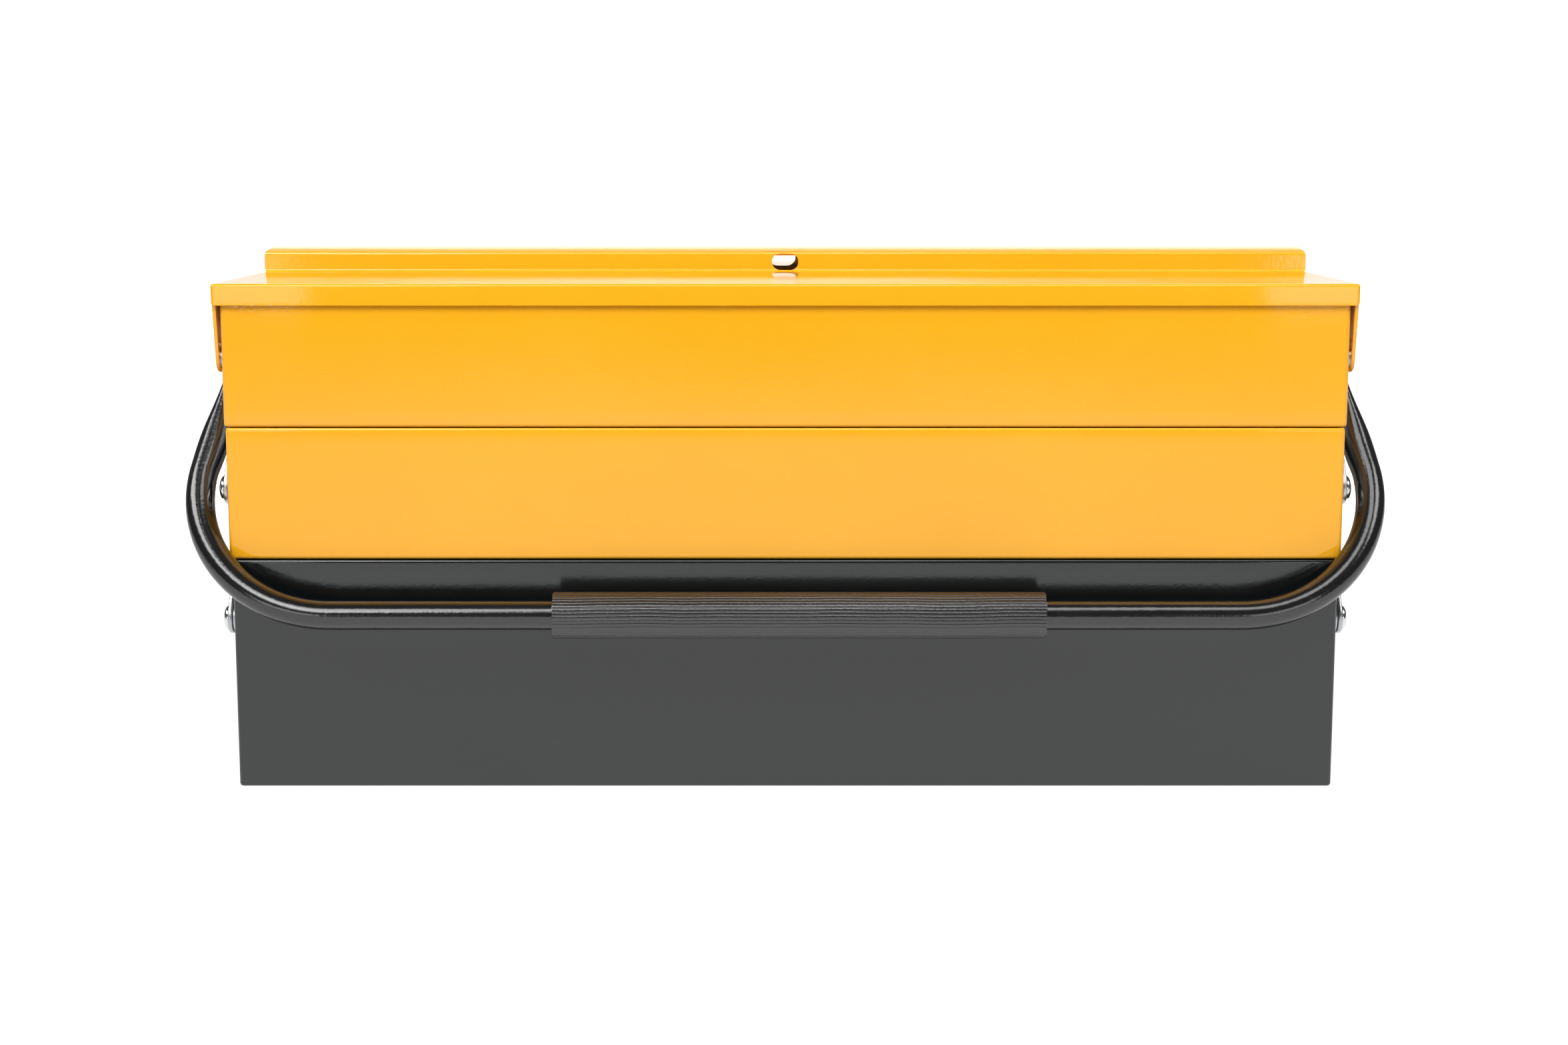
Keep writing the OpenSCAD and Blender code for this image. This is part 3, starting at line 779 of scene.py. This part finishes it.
half = handle_half()
mirrored = [[(-x, y, z) for x, y, z in ring] for ring in reversed(half[1:])]
points, faces = loft(mirrored + half)
for side, way in SIDES.items():
    obj = mesh_object(side + "_handle_tube", points, faces, turn=hang(way))
    stood_for = [side + "_handle_bar"]
    stood_for += [f"{side}_{end}_handle_{part}" for end in ENDS for part in ("bend", "arm")]
    finish_piece(obj, BLACK, side + "_handle", stood_for, sharp=55)


# ---- grips: a ribbed sleeve, its ribs laid out by nodes ----

def geometry_tree(name, inputs):
    """A Geometry Nodes tree that takes a mesh and named sizes and gives a mesh."""
    return group(name, [("Geometry", "Geometry", None)] + inputs, [("Geometry", "Geometry")],
                 "GeometryNodeTree")


def make_ribbed_sleeve():
    """Ribs along X on a thin core. They waver together along their length, as an extrusion does."""
    tree, inp, out = geometry_tree("ribbed_sleeve", [
        ("Half Length", "Float", 0.09), ("Crest Radius", "Float", 0.009), ("Rib Width", "Float", 0.0015),
        ("Rib Height", "Float", 0.0003), ("Ribs", "Int", 36), ("Core Radius", "Float", 0.008),
        ("Waver", "Float", 0.02), ("Finish", "Material", None)])
    sizes = inp.outputs
    ends = [add(tree, "ShaderNodeCombineXYZ", {"X": product(tree, sizes["Half Length"], share)}).outputs[0]
            for share in (-0.998, 0.998)]
    line = add(tree, "GeometryNodeCurvePrimitiveLine", {"Start": ends[0], "End": ends[1]})
    fine = add(tree, "GeometryNodeResampleCurve", {"Curve": line.outputs[0]}, {"Count": 64})
    rib_radius = product(tree, sizes["Rib Width"], 0.5)
    round_rib = add(tree, "GeometryNodeCurvePrimitiveCircle", {"Radius": rib_radius}, {"Resolution": 10})
    rib = add(tree, "GeometryNodeCurveToMesh", {
        "Curve": fine.outputs[0], "Profile Curve": round_rib.outputs[0]}, {"Fill Caps": True})
    lift = add(tree, "ShaderNodeCombineXYZ", {"Z": math_node(
        tree, "SUBTRACT", sizes["Crest Radius"], sizes["Rib Height"])})
    flat = add(tree, "ShaderNodeCombineXYZ", {"Z": math_node(
        tree, "DIVIDE", sizes["Rib Height"], rib_radius)}, {"X": 1.0, "Y": 1.0})
    raised = add(tree, "GeometryNodeTransform", {
        "Geometry": rib.outputs[0], "Translation": lift.outputs[0], "Scale": flat.outputs[0]})
    one = add(tree, "GeometryNodeGeometryToInstance", {"Geometry": raised.outputs[0]})
    many = add(tree, "GeometryNodeDuplicateElements", {"Geometry": one.outputs[0], "Amount": sizes["Ribs"]},
               domain="INSTANCE")
    step = math_node(tree, "DIVIDE", 2 * math.pi, sizes["Ribs"])
    turn = add(tree, "ShaderNodeCombineXYZ", {"X": product(tree, many.outputs["Duplicate Index"], step)})
    spread = add(tree, "GeometryNodeRotateInstances", {
        "Instances": many.outputs[0], "Rotation": turn.outputs[0]}, {"Local Space": False})
    core = add(tree, "GeometryNodeMeshCylinder", {
        "Radius": sizes["Core Radius"], "Depth": product(tree, sizes["Half Length"], 2.0)},
        {"Vertices": 72})
    laid = add(tree, "GeometryNodeTransform", {"Geometry": core.outputs[0]},
               {"Rotation": (0.0, math.pi / 2, 0.0)})
    both = add(tree, "GeometryNodeJoinGeometry", {"Geometry": laid.outputs[0]})
    tree.links.new(spread.outputs[0], both.inputs[0])
    real = add(tree, "GeometryNodeRealizeInstances", {"Geometry": both.outputs[0]})
    place = tree.nodes.new("GeometryNodeInputPosition").outputs[0]
    along = add(tree, "ShaderNodeSeparateXYZ", {"Vector": place})
    only_x = add(tree, "ShaderNodeCombineXYZ", {"X": along.outputs[0]})
    drift = noise(tree, only_x.outputs[0], 28.0, 1.0)
    angle = product(tree, math_node(tree, "SUBTRACT", drift, 0.5), sizes["Waver"])
    turned = add(tree, "ShaderNodeVectorRotate", {"Vector": place, "Angle": angle}, rotation_type="X_AXIS")
    moved = add(tree, "GeometryNodeSetPosition", {"Geometry": real.outputs[0], "Position": turned.outputs[0]})
    done = add(tree, "GeometryNodeSetMaterial", {"Geometry": moved.outputs[0], "Material": sizes["Finish"]})
    tree.links.new(done.outputs[0], out.inputs[0])
    return tree


def grown(name, tree, values, points=()):
    """The tree's result over a few points, as a plain mesh object. Sizes are in metres."""
    mesh = bpy.data.meshes.new(name)
    mesh.from_pydata([Vector(p) * MM for p in points], [], [])
    obj = bpy.data.objects.new(name, mesh)
    bpy.context.scene.collection.objects.link(obj)
    maker = obj.modifiers.new("maker", "NODES")
    maker.node_group = tree
    names = {item.name: item.identifier for item in tree.interface.items_tree
             if item.item_type == "SOCKET" and item.in_out == "INPUT"}
    for key, value in values.items():
        maker[names[key]] = value
    return as_plain(obj, name)


ribbed_sleeve = make_ribbed_sleeve()
for side, way in SIDES.items():
    grip = grown(side + "_grip_sleeve", ribbed_sleeve, {
        "Half Length": GRIP_HALF * MM, "Crest Radius": GRIP_R * MM, "Rib Width": RIB_WIDTH * MM,
        "Rib Height": RIB_HEIGHT * MM, "Ribs": RIBS, "Core Radius": GRIP_CORE_R * MM, "Waver": RIB_WAVER,
        "Finish": RUBBER})
    grip.data.transform(hang(way) @ Matrix.Translation(Vector((GRIP_SLID[side], 0, -REACH)) * MM))
    finish_piece(grip, RUBBER, side + "_handle", [side + "_grip"], sharp=60)


# ---- rivets, set by nodes on the points where they sit ----

def make_rivets():
    """A domed rivet on each point, with its shank and its clenched end towards the middle of the box."""
    tree, inp, out = geometry_tree("rivets", [
        ("Head Radius", "Float", 0.005), ("Head Height", "Float", 0.0023), ("Shank Radius", "Float", 0.0025),
        ("Grip", "Float", 0.003), ("Clench Radius", "Float", 0.004), ("Clench Height", "Float", 0.00125),
        ("Finish", "Material", None)])
    sizes = inp.outputs

    def dome(radius, height, flip, drop=None):
        """Half a flattened ball, flat side down, turned over where it is the clenched end."""
        ball = add(tree, "GeometryNodeMeshUVSphere", values={"Segments": 32, "Rings": 18, "Radius": 1.0})
        place = tree.nodes.new("GeometryNodeInputPosition").outputs[0]
        x, y, z = add(tree, "ShaderNodeSeparateXYZ", {"Vector": place}).outputs
        up = math_node(tree, "POWER", math_node(tree, "MAXIMUM", z, 0.0), 0.8)
        z = product(tree, up, product(tree, height, -1.0 if flip else 1.0))
        if drop is not None:
            z = math_node(tree, "SUBTRACT", z, drop)
        new = add(tree, "ShaderNodeCombineXYZ", {
            "X": product(tree, x, radius), "Y": product(tree, y, radius), "Z": z})
        shaped = add(tree, "GeometryNodeSetPosition", {"Geometry": ball.outputs[0], "Position": new.outputs[0]})
        if flip:
            return add(tree, "GeometryNodeFlipFaces", {"Mesh": shaped.outputs[0]}).outputs[0]
        return shaped.outputs[0]

    head = dome(sizes["Head Radius"], sizes["Head Height"], False)
    clench = dome(sizes["Clench Radius"], sizes["Clench Height"], True, sizes["Grip"])
    shank = add(tree, "GeometryNodeMeshCylinder", {"Radius": sizes["Shank Radius"], "Depth": sizes["Grip"]},
                {"Vertices": 24})
    sunk = add(tree, "ShaderNodeCombineXYZ", {"Z": product(tree, sizes["Grip"], -0.5)})
    lowered = add(tree, "GeometryNodeTransform", {"Geometry": shank.outputs[0], "Translation": sunk.outputs[0]})
    whole = add(tree, "GeometryNodeJoinGeometry", {"Geometry": lowered.outputs[0]})
    tree.links.new(clench, whole.inputs[0])
    tree.links.new(head, whole.inputs[0])
    place = tree.nodes.new("GeometryNodeInputPosition").outputs[0]
    side_x = add(tree, "ShaderNodeSeparateXYZ", {"Vector": place}).outputs[0]
    lean = add(tree, "ShaderNodeCombineXYZ", {"Y": product(tree, math_node(tree, "SIGN", side_x), math.pi / 2)})
    spots = add(tree, "GeometryNodeMeshToPoints", {"Mesh": sizes["Geometry"]})
    set_in = add(tree, "GeometryNodeInstanceOnPoints", {
        "Points": spots.outputs[0], "Instance": whole.outputs[0], "Rotation": lean.outputs[0]})
    real = add(tree, "GeometryNodeRealizeInstances", {"Geometry": set_in.outputs[0]})
    done = add(tree, "GeometryNodeSetMaterial", {"Geometry": real.outputs[0], "Material": sizes["Finish"]})
    tree.links.new(done.outputs[0], out.inputs[0])
    return tree


rivets = make_rivets()


def rivet_row(node, body, spots, head_x, wall_x, head=(5.0, 2.3), shank=2.5, clench=(4.0, 1.25)):
    """Rivets at (y, z) spots on both ends of the box, with (radius, height) of the head and the clenched end."""
    points = [(sign * head_x, y, z) for sign in ENDS.values() for y, z in spots]
    obj = grown(node + "_heads", rivets, {
        "Head Radius": head[0] * MM, "Head Height": head[1] * MM, "Shank Radius": shank * MM,
        "Grip": (head_x - wall_x + SHEET) * MM, "Clench Radius": clench[0] * MM,
        "Clench Height": clench[1] * MM, "Finish": STEEL}, points)
    finish_piece(obj, STEEL, body, [node], sharp=50)


def at(way, *steps_and_row):
    """(y, z) of pivots on one side of the box: steps, then the row."""
    *steps, row = steps_and_row
    return [(way * pivot(step, row)[0], pivot(step, row)[1]) for step in steps]


rivet_row("bottom_rivets", "bottom", at(-1, 0, 1, 0) + at(1, 0, 1, 0), HEAD_X, HALF_LENGTH[0])
for side, way in SIDES.items():
    rivet_row(side + "_middle_rivets", side + "_middle_tray", at(way, 0, 1, 2, 1), HEAD_X, HALF_LENGTH[1])
    rivet_row(side + "_link_rivets", side + "_top_tray", at(way, 2, 2), HEAD_X, HALF_LENGTH[2])
    rivet_row(side + "_handle_rivets", side + "_top_tray", at(way, 1, 2), EYE_HEAD_X, HALF_LENGTH[2])
    rivet_row(side + "_lid_rivets", side + "_top_tray", [(way * LID_PIVOT_U, ROW_Z[2])],
              EAR_OUT, HALF_LENGTH[2], head=(2.9, 0.9), shank=2.0, clench=(3.2, 1.0))

for name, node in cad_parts.items():
    if name.endswith("_spacers") or name.endswith("_washers"):
        for paint_slot in node.material_slots:
            paint_slot.link = "OBJECT"
            paint_slot.material = ZINC


# ---- studio: pale floor, soft lamps, and the camera of the photograph ----

# how white the floor is to the camera, and how it fades in reflections, in metres from the box
FLOOR_COLOUR = (0.50, 0.50, 0.50, 1)
FLOOR_GLOW = (0.35, 1.3, 1.26, 1.8)             # from and to a distance, with the strength at each
FLOOR_CAMERA_SHARE = 0.74
FLOOR_FRONT_FADE = (-2.2, -0.3, 0.0, 0.84)      # from and to a y, with the share at each
FLOOR_SIDE_FADE = (0.22, 0.9, 1.0, 0.4)         # from and to a distance sideways, with the share at each
# the room is dim, and white to the camera and in reflections that look far back
ROOM_DIM = 0.10
ROOM_BACK = (0.72, 0.86)
# points on the box that lamps are turned to
TRAYS = (0, -0.1, 0.1)
TRAYS_RIGHT = (0.1, -0.1, 0.1)
# name, place, what it points at, length and width, watts, and whether reflections show it
LAMPS = (
    ("left_box", (-0.90, -0.78, 1.02), TRAYS, (1.80, 0.40), 14.3, True),
    ("front_box", (-0.24, -1.00, 1.16), TRAYS, (0.78, 0.40), 4.7, True),
    ("top_box", (0.30, -0.72, 1.24), TRAYS_RIGHT, (0.60, 0.45), 2.95, True),
    ("right_box", (1.12, -0.48, 1.05), TRAYS_RIGHT, (0.60, 0.42), 3.5, True),
    ("fill_box", (0.75, -0.95, 1.15), TRAYS, (0.9, 0.9), 7.7, False),
    ("low_card_left", (-1.25, -2.2, 0.34), (-0.2, -0.1, 0.30), (1.2, 0.56), 4.5, True),
    ("low_card_right", (1.25, -2.2, 0.34), (0.2, -0.1, 0.30), (1.2, 0.56), 4.5, True),
    ("back_box", (0.0, 1.30, 0.82), (0, 0, 0.15), (1.8, 0.36), 3.6, True),
    ("rear_fill", (0.95, 1.15, 0.85), (0, 0, 0.1), (1.2, 0.8), 15.0, False),
)


def floor_material():
    """White to the camera and in reflections, fading out far in front, with the object's shadow kept."""
    made = bpy.data.materials.new("pale_floor")
    made.use_nodes = True
    nodes = made.node_tree
    nodes.nodes.clear()
    matte = add(nodes, "ShaderNodeBsdfDiffuse", values={"Color": FLOOR_COLOUR})
    here = nodes.nodes.new("ShaderNodeTexCoord").outputs["Object"]
    away = add(nodes, "ShaderNodeVectorMath", {0: here}, operation="LENGTH").outputs["Value"]
    strength = between(nodes, away, *FLOOR_GLOW)
    glow = add(nodes, "ShaderNodeEmission", {"Strength": strength}, {"Color": (1, 1, 1, 1)})
    x, y, _ = add(nodes, "ShaderNodeSeparateXYZ", {"Vector": here}).outputs
    sideways = between(nodes, math_node(nodes, "ABSOLUTE", x), *FLOOR_SIDE_FADE)
    path = nodes.nodes.new("ShaderNodeLightPath").outputs
    mirrored = product(nodes, path["Is Glossy Ray"], between(nodes, y, *FLOOR_FRONT_FADE), sideways)
    share = math_node(nodes, "ADD", product(nodes, path["Is Camera Ray"], FLOOR_CAMERA_SHARE), mirrored)
    both = add(nodes, "ShaderNodeMixShader", {0: share, 1: matte.outputs[0], 2: glow.outputs[0]})
    add(nodes, "ShaderNodeOutputMaterial", {"Surface": both.outputs[0]})
    return made


def light_room():
    """The world behind everything."""
    world = bpy.data.worlds.new("studio")
    bpy.context.scene.world = world
    world.use_nodes = True
    sky = world.node_tree
    sky.nodes.clear()
    path = sky.nodes.new("ShaderNodeLightPath").outputs
    here = sky.nodes.new("ShaderNodeTexCoord").outputs["Generated"]
    backwards = add(sky, "ShaderNodeSeparateXYZ", {"Vector": here}).outputs[1]
    behind = product(sky, path["Is Glossy Ray"], between(sky, backwards, *ROOM_BACK))
    white = math_node(sky, "MAXIMUM", path["Is Camera Ray"], behind)
    level = between(sky, white, 0.0, 1.0, ROOM_DIM, 1.0)
    backdrop = add(sky, "ShaderNodeBackground", {"Strength": level}, {"Color": (1, 1, 1, 1)})
    add(sky, "ShaderNodeOutputWorld", {"Surface": backdrop.outputs[0]})


def softbox(name, place, target, size, power, shows):
    """A large rectangular lamp."""
    light = bpy.data.lights.new(name, "AREA")
    light.shape = "RECTANGLE"
    light.size, light.size_y = size
    light.energy = power
    lamp = bpy.data.objects.new(name, light)
    lamp.location = place
    lamp.rotation_euler = (Vector(target) - Vector(place)).to_track_quat("-Z", "Y").to_euler()
    lamp.visible_glossy = shows
    bpy.context.scene.collection.objects.link(lamp)


floor_mesh = bpy.data.meshes.new("floor")
floor_mesh.from_pydata([(-9, -9, 0), (9, -9, 0), (9, 9, 0), (-9, 9, 0)], [], [(0, 1, 2, 3)])
floor = bpy.data.objects.new("floor", floor_mesh)
floor_mesh.materials.append(floor_material())
bpy.context.scene.collection.objects.link(floor)
light_room()
for lamp in LAMPS:
    softbox(*lamp)

camera_data = bpy.data.cameras.new("camera")
camera_data.lens = 56.0
camera_data.sensor_width = 36.0
camera = bpy.data.objects.new("camera", camera_data)
camera.location = (-0.0005, -1.0134, 0.2402)
camera.rotation_euler = (math.radians(81.47), 0, 0)
bpy.context.scene.collection.objects.link(camera)
bpy.context.scene.camera = camera
bpy.context.scene.view_settings.view_transform = "Standard"
